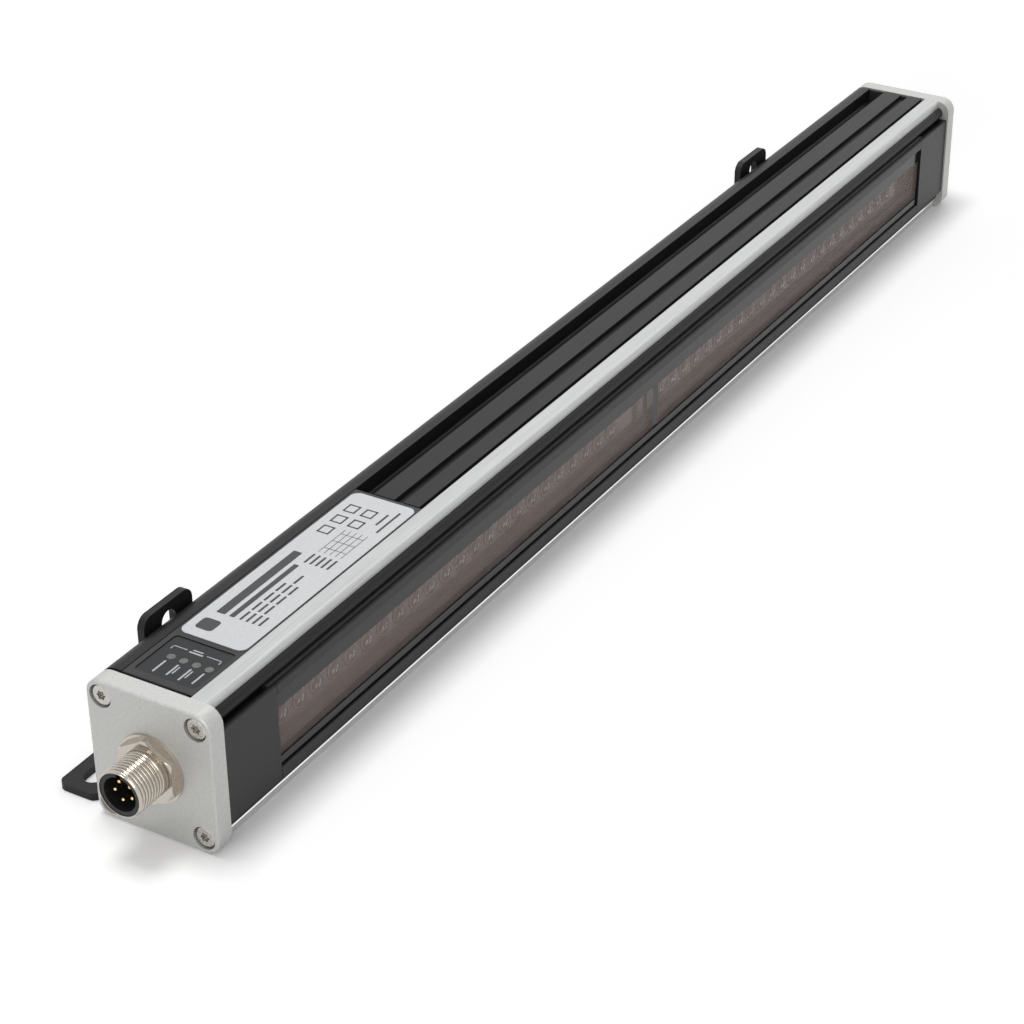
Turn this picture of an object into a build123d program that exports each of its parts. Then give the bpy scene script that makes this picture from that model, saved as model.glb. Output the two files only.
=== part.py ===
from build123d import *
import os

os.makedirs("parts", exist_ok=True)

# Safety light curtain bar, in millimetres. The bar lies along +Y, its optical front
# faces +X and +Z is up. The origin is the centre of the plug's shoulder, where the
# coupling nut of a cable socket seats.

# How far a cut runs past the face that it opens
PAST = 1.0

# Bar
BODY_DEPTH = 34.0
BODY_HEIGHT = 37.3
BODY_LENGTH = 400.0
BODY_CORNER_R = 4.0
PLATE_THICKNESS = 5.0
PLATE_EDGE_BREAK = 0.35
GASKET_THICKNESS = 0.8
GASKET_INSET = 0.45
GASKET_HOLE_R = 1.5
PLUG_STANDOFF = 2.7

# Screw ports of the extruded housing
SCREW_SPACING_X = 26.0
SCREW_SPACING_Z = 29.2
PORT_OUTER_R = 1.9
PORT_BORE_R = 1.35

# Top and bottom sides of the housing, from the back edge forward
LEDGE_WIDTH = 5.8
SLOT_WIDTH = 5.5
SLOT_DEPTH = 4.2
SLOT_FLOOR_R = 0.6
GROOVE_FROM_SLOT = 5.9
GROOVE_WIDTH = 2.6
GROOVE_DEPTH = 1.3
BAND_WIDTH = 4.6

# Silver trim strips
TRIM_GAP = 1.1
TRIM_WIDTH = 4.9
TRIM_EDGE_R = 1.2
TRIM_FOOT_INSET = 0.5
TRIM_FOOT_WIDTH = 1.4
TRIM_FOOT_DEPTH = 1.3
TRIM_FOOT_CLEARANCE = 0.1

# Chamber and guide ribs for the control board
CHAMBER_BACK_WALL = 6.5
RIB_HEIGHT = 1.2
RIB_WIDTH = 1.0
BOARD_THICKNESS = 1.6
BOARD_SLOT_CLEARANCE = 0.1
CONTROL_BOARD_SETBACK = 3.7
CONTROL_BOARD_END_GAP = 18.0

# Components on the control board: share of its length from the plug's end, length, width
CONTROL_CHIPS = [(0.1, 14.0, 10.0), (0.27, 9.0, 9.0), (0.5, 14.0, 14.0), (0.72, 9.0, 9.0), (0.9, 12.0, 8.0)]
CHIP_HEIGHT = 1.5
RELAY_SHARES = [0.17, 0.38]
RELAY_LENGTH = 18.0
RELAY_WIDTH = 10.0
RELAY_HEIGHT = 6.5

# T-slot along the back, and the voids beside it
T_MOUTH_WIDTH = 5.4
T_LIP = 1.8
T_INNER_WIDTH = 9.2
T_INNER_DEPTH = 3.0
VOID_WALL = 1.6
VOID_HEIGHT = 6.0
VOID_R = 0.8

# Front panel
PANEL_SETBACK = 0.5
PANEL_THICKNESS = 1.0
PANEL_EDGE_R = 0.3
WINDOW_HEIGHT = 19.6
PANE_THICKNESS = 1.2
PANE_HEIGHT = 23.0
PANE_CLEARANCE = 0.1
END_BLOCK_LENGTH = 19.5
CAP_OVERHANG = 2.0
END_BLOCK_BACK_GAP = 0.5
END_BLOCK_CLEARANCE = 0.3
BLOCK_JOINT = 0.15

# Optic modules
LENS_PITCH = 7.0
LENS_FROM_START = 8.5
LENS_END_MARGIN = 17.0
LENS_DIAMETER = 6.0
LENS_DOME = 1.0
LENS_BASE = 0.8
LENS_BAR_END_GAP = 1.2
CARRIER_FLANGE = 1.0
CARRIER_FLANGE_HEIGHT = 26.6
CARRIER_CLEARANCE = 0.1
CARRIER_DEPTH = 9.5
CARRIER_WALL = 1.1
CHANNEL_HEIGHT = 13.2
CHANNEL_DEPTH = 4.0
LENS_CLEARANCE = 0.15
TUNNEL_R = 2.5
DIODE_BOARD_HEIGHT = 20.0
DIODE_BOARD_END_GAP = 0.8
DIODE_LENGTH = 2.4
DIODE_WIDTH = 2.0
DIODE_HEIGHT = 1.2
DIODE_DOME_R = 0.8

# Cover with the status lights, and the label plate on it
COVER_LENGTH = 92.6
COVER_END_GAP = 0.3
COVER_SIDE_GAP = 0.1
COVER_EDGE_BREAK = 0.15
STATUS_FROM_END = 2.2
STATUS_LENGTH = 15.6
STATUS_WIDTH = 16.9
STATUS_FROM_EDGE = 1.6
STATUS_RECESS = 0.5
STATUS_SHEET = 0.3
STATUS_CORNER_R = 1.0
STATUS_SHEET_GAP = 0.1
LIGHT_COUNT = 4
LIGHT_PITCH = 3.52
LIGHT_R = 1.05
LIGHT_HOLE_GAP = 0.05
LIGHT_FROM_STATUS = 8.1
LIGHT_BAR_LENGTH = 13.4
LIGHT_BAR_WIDTH = 3.6
LIGHT_BAR_HEIGHT = 1.4
LIGHT_BAR_GAP = 0.3
STATUS_BOARD_LENGTH = 14.0
STATUS_BOARD_WIDTH = 16.0
STATUS_CHIP_SIZE = 1.6
STATUS_CHIP_HEIGHT = 0.7
LABEL_FROM_END = 19.3
LABEL_LENGTH = 72.0
LABEL_WIDTH = 18.25
LABEL_FROM_EDGE = 0.85
LABEL_THICKNESS = 0.15
LABEL_CORNER_R = 2.2

# End plate screws
SCREW_HEAD_R = 2.75
SCREW_HEAD_HEIGHT = 2.4
SCREW_HEAD_EDGE_R = 0.6
SCREW_SHANK_R = 1.3
SCREW_LENGTH = 12.0
SCREW_HOLE_R = 1.7
COUNTERBORE_R = 3.0
COUNTERBORE_DEPTH = 2.8
SOCKET_R = 0.95
SOCKET_LOBE_R = 0.32
SOCKET_DEPTH = 1.3

# Plug
PLUG_THREAD_R = 6.0
PLUG_THREAD_LENGTH = 9.0
PLUG_THREAD_CHAMFER = 0.5
PLUG_HEX_AF = 15.0
PLUG_HEX_LENGTH = 1.9
PLUG_HEX_CORNER_R = 8.4
PLUG_FLANGE_R = 8.8
PLUG_TAIL_R = 6.9
PLUG_TAIL_LENGTH = 10.0
PLUG_HOLE_CLEARANCE = 0.1
PLUG_BORE_R = 5.5
INSERT_CLEARANCE = 0.05
INSERT_RIM_WALL = 1.05
INSERT_RIM_SETBACK = 0.2
INSERT_FLOOR_DEPTH = 8.0
INSERT_TAIL = 11.5
KEY_WIDTH = 1.3
KEY_DEPTH = 0.75
PIN_COUNT = 5
PIN_CIRCLE_R = 2.5
PIN_R = 0.5
PIN_TIP_R = 0.4
PIN_SETBACK = 1.4
PIN_TAIL = 14.5
PIN_FIRST_ANGLE = 44.0
SEAL_OUTER_R = 8.2
SEAL_THICKNESS = 0.9
SEAL_SQUEEZE_GAP = 0.05
LOCK_NUT_AF = 17.0
LOCK_NUT_HEIGHT = 2.4

# Brackets
NEAR_BRACKET_FROM_END = 24.6
FAR_BRACKET_FROM_END = 75.2
SHEET = 2.0
UPRIGHT_WIDTH = 18.0
UPRIGHT_RISE = 2.35
UPRIGHT_CORNER_R = 3.0
UPRIGHT_SLOT_WIDTH = 5.2
UPRIGHT_SLOT_TOP_GAP = 2.1
UPRIGHT_SLOT_LENGTH = 27.6
FOOT_LENGTH = 56.0
FOOT_REACH = 13.8
FOOT_CORNER_R = 2.0
FOOT_SLOT_WIDTH = 5.0
FOOT_SLOT_LENGTH = 14.0
FOOT_SLOT_SPACING = 35.6
FOOT_SLOT_FROM_BACK = 7.9
BEND_INNER_R = 0.6
BEND_RELIEF = 0.8

# Bracket hardware
BOLT_R = 2.4
BOLT_HEAD_LENGTH = 8.6
BOLT_HEAD_WIDTH = 5.2
BOLT_HEAD_THICKNESS = 2.6
BOLT_HEAD_CORNER_R = 1.2
BOLT_TIP = 1.2
BOLT_CHAMFER = 0.4
WASHER_R = 5.0
WASHER_HOLE_R = 2.65
WASHER_THICKNESS = 1.0
NUT_AF = 8.0
NUT_CORNER_R = 4.44
NUT_HEIGHT = 4.0
NUT_HOLE_CLEARANCE = 0.03

# Stations along the bar
Y_PLATE = PLUG_STANDOFF
Y_GASKET = Y_PLATE + PLATE_THICKNESS
Y_BODY = Y_GASKET + GASKET_THICKNESS
Y_BODY_END = Y_BODY + BODY_LENGTH
Y_GASKET_END = Y_BODY_END + GASKET_THICKNESS
Y_PLATE_END = Y_GASKET_END + PLATE_THICKNESS
Y_WINDOW = Y_BODY + END_BLOCK_LENGTH
Y_WINDOW_END = Y_BODY_END - END_BLOCK_LENGTH
Y_MODULE = Y_WINDOW - CAP_OVERHANG
Y_MODULE_END = Y_WINDOW_END + CAP_OVERHANG
Y_CONTROL = Y_BODY + CONTROL_BOARD_END_GAP
Y_CONTROL_END = Y_BODY_END - CONTROL_BOARD_END_GAP
Y_COVER_END = Y_BODY + COVER_LENGTH
Y_STATUS = Y_BODY + STATUS_FROM_END
Y_LIGHTS = Y_STATUS + LIGHT_FROM_STATUS
Y_LABEL = Y_BODY + LABEL_FROM_END
Y_BRACKET_NEAR = Y_BODY + NEAR_BRACKET_FROM_END
Y_BRACKET_FAR = Y_BODY_END - FAR_BRACKET_FROM_END

# Lines of the section
X_BACK = -BODY_DEPTH / 2
X_PLATE_FRONT = BODY_DEPTH / 2
Z_TOP = BODY_HEIGHT / 2
X_PORT = SCREW_SPACING_X / 2
Z_PORT = SCREW_SPACING_Z / 2
Z_RABBET = Z_PORT + PORT_OUTER_R
Z_CHAMBER = Z_PORT - PORT_OUTER_R
X_SLOT = X_BACK + LEDGE_WIDTH
X_SLOT_END = X_SLOT + SLOT_WIDTH
X_GROOVE = X_SLOT_END + GROOVE_FROM_SLOT
X_GROOVE_END = X_GROOVE + GROOVE_WIDTH
X_SIDE_END = X_GROOVE_END + BAND_WIDTH
X_TRIM = X_SIDE_END + TRIM_GAP
X_TRIM_END = X_TRIM + TRIM_WIDTH
X_CHAMBER = X_BACK + CHAMBER_BACK_WALL
X_PANEL = X_PLATE_FRONT - PANEL_SETBACK
X_PANEL_BACK = X_PANEL - PANEL_THICKNESS
X_PANE_BACK = X_PANEL_BACK - PANE_THICKNESS
X_FLANGE_BACK = X_PANEL_BACK - CARRIER_FLANGE
X_CARRIER = X_PANEL_BACK - CARRIER_DEPTH
X_LENS = X_PANEL_BACK - CHANNEL_DEPTH
X_BLOCK_BACK = max(LOCK_NUT_AF, STATUS_BOARD_WIDTH) / 2 + END_BLOCK_BACK_GAP
X_CONTROL = X_CHAMBER + CONTROL_BOARD_SETBACK
X_COVER = X_SLOT + COVER_SIDE_GAP
X_COVER_END = X_TRIM - COVER_SIDE_GAP
X_T_FLOOR = X_BACK + T_LIP + T_INNER_DEPTH
Z_STATUS_BOARD = Z_CHAMBER - RIB_HEIGHT - LIGHT_BAR_GAP
MODULE_LENGTH = (Y_MODULE_END - Y_MODULE) / 2
LENS_COUNT = 1 + int((MODULE_LENGTH - LENS_FROM_START - LENS_END_MARGIN) / LENS_PITCH)


def strip(x0, x1, z0, z1):
    """Rectangle in the section plane."""
    return Pos((x0 + x1) / 2, (z0 + z1) / 2) * Rectangle(x1 - x0, z1 - z0)


def rounded_strip(x0, x1, z0, z1, radius):
    """Rectangle in the section plane with round corners."""
    return Pos((x0 + x1) / 2, (z0 + z1) / 2) * RectangleRounded(x1 - x0, z1 - z0, radius)


def prism(profile, y0, y1):
    """Extrude a section between two stations along the bar."""
    return extrude(Plane.XZ.offset(-y0) * profile, amount=y0 - y1)


def block(x0, x1, y0, y1, z0, z1):
    """Plain rectangular solid between its six faces."""
    centre = Pos((x0 + x1) / 2, (y0 + y1) / 2, (z0 + z1) / 2)
    return centre * Box(x1 - x0, y1 - y0, z1 - z0)


def rod_y(x, z, radius, y0, y1):
    """Cylinder along the bar."""
    return Pos(x, (y0 + y1) / 2, z) * Rot(90, 0, 0) * Cylinder(radius, y1 - y0)


def rod_x(y, z, radius, x0, x1):
    """Cylinder across the bar, from back to front."""
    return Pos((x0 + x1) / 2, y, z) * Rot(0, 90, 0) * Cylinder(radius, x1 - x0)


def rod_z(x, y, radius, z0, z1):
    """Upright cylinder."""
    return Pos(x, y, (z0 + z1) / 2) * Cylinder(radius, z1 - z0)


def upright_slab(x0, x1, y0, y1, z0, z1, radius):
    """Thin slab lying in the top side, with round corners seen from above."""
    outline = Pos((x0 + x1) / 2, (y0 + y1) / 2) * RectangleRounded(x1 - x0, y1 - y0, radius)
    return extrude(Pos(0, 0, z0) * outline, amount=z1 - z0)


def hex_prism(across_flats, y0, y1):
    """Hexagonal prism on the plug's axis, with a corner at its top."""
    outline = Rot(0, 0, 30) * RegularPolygon(across_flats / 2, 6, major_radius=False)
    return prism(outline, y0, y1)


def screw_places():
    """Centres of the four screws in the section."""
    return [(sx * X_PORT, sz * Z_PORT) for sx in (-1, 1) for sz in (-1, 1)]


def both_sides(profile):
    """A section feature of the top side together with its mirror image below."""
    return profile + mirror(profile, Plane.XZ)


def save(solid, name):
    """Write one sub-part to its own STEP file."""
    solid.label = name
    export_step(solid, os.path.join("parts", name + ".step"))


# Housing: one extrusion with slots, screw ports, chamber and guide ribs
def section_outline(inset):
    """Outer form of the extrusion, with round back corners and round front ports."""
    body = strip(X_BACK + inset, X_SIDE_END - inset, -Z_TOP + inset, Z_TOP - inset)
    body = fillet(body.vertices().group_by(Axis.X)[0], BODY_CORNER_R - inset)
    body += strip(X_SIDE_END - inset, X_PORT, -Z_RABBET, Z_RABBET)
    for side in (-1, 1):
        body += Pos(X_PORT, side * Z_PORT) * Circle(PORT_OUTER_R)
    return body


def housing_section():
    body = section_outline(0)
    body -= strip(X_CHAMBER, X_PLATE_FRONT, -Z_CHAMBER, Z_CHAMBER)

    z_slot = Z_TOP - SLOT_DEPTH
    slot = strip(X_SLOT, X_SLOT_END, z_slot, Z_TOP + PAST)
    slot = fillet(slot.vertices().group_by(Axis.Y)[0], SLOT_FLOOR_R)
    groove = strip(X_GROOVE, X_GROOVE_END, Z_TOP - GROOVE_DEPTH, Z_TOP + PAST)
    foot = strip(
        X_TRIM + TRIM_FOOT_INSET - TRIM_FOOT_CLEARANCE,
        X_TRIM + TRIM_FOOT_INSET + TRIM_FOOT_WIDTH + TRIM_FOOT_CLEARANCE,
        Z_RABBET - TRIM_FOOT_DEPTH - TRIM_FOOT_CLEARANCE,
        Z_RABBET + PAST,
    )
    body -= both_sides(slot + groove + foot)

    body -= strip(X_BACK - PAST, X_BACK + T_LIP, -T_MOUTH_WIDTH / 2, T_MOUTH_WIDTH / 2)
    body -= strip(X_BACK + T_LIP, X_T_FLOOR, -T_INNER_WIDTH / 2, T_INNER_WIDTH / 2)
    z_void = T_INNER_WIDTH / 2 + VOID_WALL
    x_void_end = X_CHAMBER - VOID_WALL
    void = rounded_strip(X_BACK + VOID_WALL, x_void_end, z_void, z_void + VOID_HEIGHT, VOID_R)
    body -= both_sides(void)

    for x, z in screw_places():
        body -= Pos(x, z) * Circle(PORT_BORE_R)

    half_gap = BOARD_THICKNESS / 2 + BOARD_SLOT_CLEARANCE
    rib_back = strip(
        X_CONTROL - half_gap - RIB_WIDTH,
        X_CONTROL - half_gap,
        Z_CHAMBER - RIB_HEIGHT,
        Z_CHAMBER,
    )
    rib_front = strip(
        X_CONTROL + half_gap,
        X_CONTROL + half_gap + RIB_WIDTH,
        Z_CHAMBER - RIB_HEIGHT,
        Z_CHAMBER,
    )
    body += both_sides(rib_back + rib_front)
    return body


def light_opening(margin):
    """Opening of the housing's top wall for the light guides."""
    return block(
        -LIGHT_BAR_LENGTH / 2 - margin,
        LIGHT_BAR_LENGTH / 2 + margin,
        Y_LIGHTS - LIGHT_BAR_WIDTH / 2 - margin,
        Y_LIGHTS + LIGHT_BAR_WIDTH / 2 + margin,
        Z_CHAMBER - RIB_HEIGHT - PAST,
        Z_TOP,
    )


def housing():
    body = prism(housing_section(), Y_BODY, Y_BODY_END)
    body -= block(X_SLOT, X_TRIM, Y_BODY - PAST, Y_COVER_END + COVER_END_GAP, Z_RABBET, Z_TOP + PAST)
    body -= light_opening(LIGHT_BAR_GAP)
    return body


# Trim strips: rounded outer edge, and a foot that snaps into the housing
def trim_strip(side):
    bar = strip(X_TRIM, X_TRIM_END, Z_RABBET, Z_TOP)
    outer = bar.vertices().sort_by(Axis.X)[-2:].sort_by(Axis.Y)[-1]
    bar = fillet([outer], TRIM_EDGE_R)
    foot_start = X_TRIM + TRIM_FOOT_INSET
    foot = strip(
        foot_start,
        foot_start + TRIM_FOOT_WIDTH,
        Z_RABBET - TRIM_FOOT_DEPTH,
        Z_RABBET,
    )
    if side < 0:
        bar = mirror(bar, Plane.XZ)
        foot = mirror(foot, Plane.XZ)
    return prism(bar, Y_GASKET, Y_GASKET_END) + prism(foot, Y_BODY, Y_BODY_END)


# End plates, gaskets and screws
def plate_outline(inset):
    return rounded_strip(
        X_BACK + inset,
        X_PLATE_FRONT - inset,
        -Z_TOP + inset,
        Z_TOP - inset,
        BODY_CORNER_R - inset,
    )


def end_plate(y_inner, y_outer):
    """Plate with counterbored seats for the screws."""
    low = min(y_inner, y_outer)
    high = max(y_inner, y_outer)
    plate = prism(plate_outline(0), low, high)
    rim = plate.faces().sort_by(Axis.Y)[0 if y_outer < y_inner else -1].edges()
    plate = chamfer(rim, PLATE_EDGE_BREAK)
    inward = 1 if y_inner > y_outer else -1
    seat = (y_outer - inward, y_outer + inward * COUNTERBORE_DEPTH)
    for x, z in screw_places():
        plate -= rod_y(x, z, SCREW_HOLE_R, low - PAST, high + PAST)
        plate -= rod_y(x, z, COUNTERBORE_R, min(seat), max(seat))
    return plate


def near_plate():
    plate = end_plate(Y_GASKET, Y_PLATE)
    plate -= rod_y(0, 0, PLUG_TAIL_R + PLUG_HOLE_CLEARANCE, Y_PLATE - PAST, Y_GASKET + PAST)
    plate -= rod_y(0, 0, SEAL_OUTER_R + SEAL_SQUEEZE_GAP, Y_PLATE - PAST, Y_PLATE + SEAL_THICKNESS)
    return plate


def gasket(y0, y1):
    """Flat seal with the housing's outline, closed across the mouth behind the panel."""
    sheet = section_outline(GASKET_INSET)
    sheet += strip(X_PORT - PORT_OUTER_R, X_PANEL_BACK, -Z_CHAMBER, Z_CHAMBER)
    sheet -= rounded_strip(
        X_CHAMBER + GASKET_THICKNESS,
        X_CARRIER + CARRIER_DEPTH / 2,
        -Z_CHAMBER + GASKET_THICKNESS,
        Z_CHAMBER - GASKET_THICKNESS,
        BODY_CORNER_R - GASKET_INSET,
    )
    for x, z in screw_places():
        sheet -= Pos(x, z) * Circle(GASKET_HOLE_R)
    return prism(sheet, y0, y1)


def end_screw(x, z, y_outer, inward):
    """Round-edged screw with a six-lobed socket."""
    seat = y_outer + inward * COUNTERBORE_DEPTH
    crown = seat - inward * SCREW_HEAD_HEIGHT
    head = rod_y(x, z, SCREW_HEAD_R, min(seat, crown), max(seat, crown))
    rim = head.edges().sort_by(Axis.Y)[0 if inward > 0 else -1]
    head = fillet([rim], SCREW_HEAD_EDGE_R)
    tip = seat + inward * SCREW_LENGTH
    head += rod_y(x, z, SCREW_SHANK_R, min(seat, tip), max(seat, tip))
    star = Circle(SOCKET_R)
    for lobe in PolarLocations(SOCKET_R, 6):
        star += lobe * Circle(SOCKET_LOBE_R)
    socket = (crown - inward, crown + inward * SOCKET_DEPTH)
    return head - prism(Pos(x, z) * star, min(socket), max(socket))


def end_screws(y_outer, inward):
    return Compound([end_screw(x, z, y_outer, inward) for x, z in screw_places()])


# Plug: shell, insert with its keyway, pins, seal and lock nut
def plug_shell():
    body = rod_y(0, 0, PLUG_THREAD_R, -PLUG_THREAD_LENGTH, 0)
    body = chamfer([body.edges().sort_by(Axis.Y)[0]], PLUG_THREAD_CHAMFER)
    hexagon = hex_prism(PLUG_HEX_AF, 0, PLUG_HEX_LENGTH)
    turned = rod_y(0, 0, PLUG_HEX_CORNER_R, 0, PLUG_HEX_LENGTH)
    turned = chamfer([turned.edges().sort_by(Axis.Y)[0]], PLUG_THREAD_CHAMFER)
    body += hexagon & turned
    body += rod_y(0, 0, PLUG_FLANGE_R, PLUG_HEX_LENGTH, Y_PLATE)
    body += rod_y(0, 0, PLUG_TAIL_R, Y_PLATE, Y_PLATE + PLUG_TAIL_LENGTH)
    body -= rod_y(0, 0, PLUG_BORE_R, -PLUG_THREAD_LENGTH - PAST, Y_PLATE + PLUG_TAIL_LENGTH + PAST)
    return body


def plug_insert():
    radius = PLUG_BORE_R - INSERT_CLEARANCE
    rim = -PLUG_THREAD_LENGTH + INSERT_RIM_SETBACK
    floor = rim + INSERT_FLOOR_DEPTH
    body = rod_y(0, 0, radius, rim, INSERT_TAIL)
    body -= rod_y(0, 0, radius - INSERT_RIM_WALL, rim - PAST, floor)
    z_key = radius - INSERT_RIM_WALL + KEY_DEPTH
    body -= block(-KEY_WIDTH / 2, KEY_WIDTH / 2, rim - PAST, floor, 0, z_key)
    for place in pin_places():
        body -= rod_y(place[0], place[1], PIN_R, floor - PAST, INSERT_TAIL + PAST)
    return body


def pin_places():
    places = []
    for number in range(PIN_COUNT):
        angle = PIN_FIRST_ANGLE + 360.0 / PIN_COUNT * number
        point = Vector(PIN_CIRCLE_R, 0).rotate(Axis.Z, angle)
        places.append((point.X, point.Y))
    return places


def plug_pins():
    pins = []
    for x, z in pin_places():
        pin = rod_y(x, z, PIN_R, -PLUG_THREAD_LENGTH + PIN_SETBACK, PIN_TAIL)
        pins.append(fillet([pin.edges().sort_by(Axis.Y)[0]], PIN_TIP_R))
    return Compound(pins)


def plug_seal():
    y_end = Y_PLATE + SEAL_THICKNESS
    ring = rod_y(0, 0, SEAL_OUTER_R, Y_PLATE, y_end)
    return ring - rod_y(0, 0, PLUG_TAIL_R + SEAL_SQUEEZE_GAP, Y_PLATE - PAST, y_end + PAST)


def plug_lock_nut():
    y_end = Y_GASKET + LOCK_NUT_HEIGHT
    nut = hex_prism(LOCK_NUT_AF, Y_GASKET, y_end)
    return nut - rod_y(0, 0, PLUG_TAIL_R + NUT_HOLE_CLEARANCE, Y_GASKET - PAST, y_end + PAST)


# Front panel: two thin frame strips and the end blocks that close it
def frame_strip(side):
    half = WINDOW_HEIGHT / 2
    bar = strip(X_PANEL_BACK, X_PANEL, half, Z_CHAMBER)
    bar = fillet(bar.vertices().group_by(Axis.X)[-1], PANEL_EDGE_R)
    if side < 0:
        bar = mirror(bar, Plane.XZ)
    return prism(bar, Y_WINDOW + BLOCK_JOINT, Y_WINDOW_END - BLOCK_JOINT)


def end_block(y_end, inward):
    """Block in front of the lock nut and the status board, with a cap over the pane's end."""
    y_cap = y_end + inward * END_BLOCK_LENGTH
    y_body = y_end + inward * (END_BLOCK_LENGTH - CAP_OVERHANG - END_BLOCK_CLEARANCE)
    cap = strip(X_PANEL_BACK, X_PANEL, -Z_CHAMBER, Z_CHAMBER)
    cap = fillet(cap.vertices().group_by(Axis.X)[-1], PANEL_EDGE_R)
    y_seat = y_end - inward * GASKET_THICKNESS
    body = prism(cap, min(y_seat, y_cap), max(y_seat, y_cap))
    half = Z_CHAMBER - END_BLOCK_CLEARANCE
    plug = strip(X_BLOCK_BACK, X_PANEL_BACK, -half, half)
    wall = 2 * CARRIER_WALL
    pocket = strip(X_BLOCK_BACK - PAST, X_PANEL_BACK - wall, -half + wall, half - wall)
    body += prism(plug, min(y_end, y_body), max(y_end, y_body))
    y_pocket = (y_end + inward * wall, y_body - inward * wall)
    return body - prism(pocket, min(y_pocket), max(y_pocket))


def window_pane():
    sheet = strip(X_PANE_BACK, X_PANEL_BACK, -PANE_HEIGHT / 2, PANE_HEIGHT / 2)
    return prism(sheet, Y_MODULE + PANE_CLEARANCE, Y_MODULE_END - PANE_CLEARANCE)


# Optic modules: carrier with light tunnels, lens bar, board and diodes
def module_span(number):
    start = Y_MODULE + MODULE_LENGTH * (number - 1)
    return start, start + MODULE_LENGTH


def lens_stations(number):
    first = module_span(number)[0] + LENS_FROM_START
    return [first + LENS_PITCH * place for place in range(LENS_COUNT)]


def carrier_section():
    half = Z_CHAMBER - CARRIER_CLEARANCE
    half_pane = PANE_HEIGHT / 2 + PANE_CLEARANCE
    half_channel = CHANNEL_HEIGHT / 2
    body = strip(X_CARRIER, X_PANEL_BACK, -half, half)
    body += strip(
        X_FLANGE_BACK,
        X_PANEL_BACK,
        -CARRIER_FLANGE_HEIGHT / 2,
        CARRIER_FLANGE_HEIGHT / 2,
    )
    body -= strip(X_PANE_BACK, X_PANEL_BACK + PAST, -half_pane, half_pane)
    body -= strip(X_LENS, X_PANE_BACK + PAST, -half_channel, half_channel)
    side_channel = strip(
        X_CARRIER - PAST,
        X_LENS,
        half_channel + CARRIER_WALL,
        half - CARRIER_WALL,
    )
    return body - both_sides(side_channel)


def optic_carrier(number):
    y0, y1 = module_span(number)
    body = prism(carrier_section(), y0, y1)
    for y in lens_stations(number):
        body -= rod_x(y, 0, TUNNEL_R, X_CARRIER - PAST, X_LENS + PAST)
    return body


def lens_bar(number):
    """Moulded strip of plano-convex lenses."""
    y0, y1 = module_span(number)
    half = CHANNEL_HEIGHT / 2 - LENS_CLEARANCE
    x_base = X_LENS + LENS_BASE
    x_crown = x_base + LENS_DOME
    bar = block(X_LENS, x_base, y0 + LENS_BAR_END_GAP, y1 - LENS_BAR_END_GAP, -half, half)
    sphere_r = (LENS_DIAMETER ** 2 / 4 + LENS_DOME ** 2) / (2 * LENS_DOME)
    for y in lens_stations(number):
        ball = Pos(x_crown - sphere_r, y, 0) * Sphere(sphere_r)
        bar += ball & rod_x(y, 0, LENS_DIAMETER / 2, X_LENS + LENS_BASE / 2, x_crown)
    return bar


def diode_board(number):
    y0, y1 = module_span(number)
    half = DIODE_BOARD_HEIGHT / 2
    return block(
        X_CARRIER - BOARD_THICKNESS,
        X_CARRIER,
        y0 + DIODE_BOARD_END_GAP,
        y1 - DIODE_BOARD_END_GAP,
        -half,
        half,
    )


def diodes(number):
    bodies = []
    x_tip = X_CARRIER + DIODE_HEIGHT + DIODE_DOME_R / 2
    for y in lens_stations(number):
        case = block(
            X_CARRIER,
            X_CARRIER + DIODE_HEIGHT,
            y - DIODE_WIDTH / 2,
            y + DIODE_WIDTH / 2,
            -DIODE_LENGTH / 2,
            DIODE_LENGTH / 2,
        )
        bodies.append(case + rod_x(y, 0, DIODE_DOME_R, X_CARRIER, x_tip))
    return Compound(bodies)


# Control board in the housing's ribs, with its components
def control_board():
    half = Z_CHAMBER - BOARD_SLOT_CLEARANCE
    return block(
        X_CONTROL - BOARD_THICKNESS / 2,
        X_CONTROL + BOARD_THICKNESS / 2,
        Y_CONTROL,
        Y_CONTROL_END,
        -half,
        half,
    )


def board_part(share, length, width, height):
    """Plain case standing on the front face of the control board."""
    face = X_CONTROL + BOARD_THICKNESS / 2
    case = Pos(face + height / 2, Y_CONTROL + share * (Y_CONTROL_END - Y_CONTROL), 0)
    return case * Box(height, length, width)


def control_parts():
    pieces = [board_part(share, length, width, CHIP_HEIGHT) for share, length, width in CONTROL_CHIPS]
    for share in RELAY_SHARES:
        pieces.append(board_part(share, RELAY_LENGTH, RELAY_WIDTH, RELAY_HEIGHT))
    return Compound(pieces)


# Cover, status lights and label
def status_area(inset, z0, z1):
    x0 = X_COVER + STATUS_FROM_EDGE
    return upright_slab(
        x0 + inset,
        x0 + STATUS_WIDTH - inset,
        Y_STATUS + inset,
        Y_STATUS + STATUS_LENGTH - inset,
        z0,
        z1,
        STATUS_CORNER_R - inset,
    )


def light_places():
    first = -LIGHT_PITCH * (LIGHT_COUNT - 1) / 2
    return [first + LIGHT_PITCH * i for i in range(LIGHT_COUNT)]


def display_cover():
    body = block(X_COVER, X_COVER_END, Y_BODY, Y_COVER_END, Z_RABBET, Z_TOP)
    top_edges = body.faces().sort_by(Axis.Z)[-1].edges()
    body = chamfer(top_edges, COVER_EDGE_BREAK)
    body -= status_area(0, Z_TOP - STATUS_RECESS, Z_TOP + PAST)
    for x in light_places():
        body -= rod_z(x, Y_LIGHTS, LIGHT_R + LIGHT_HOLE_GAP, Z_RABBET - PAST, Z_TOP + PAST)
    return body


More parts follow.
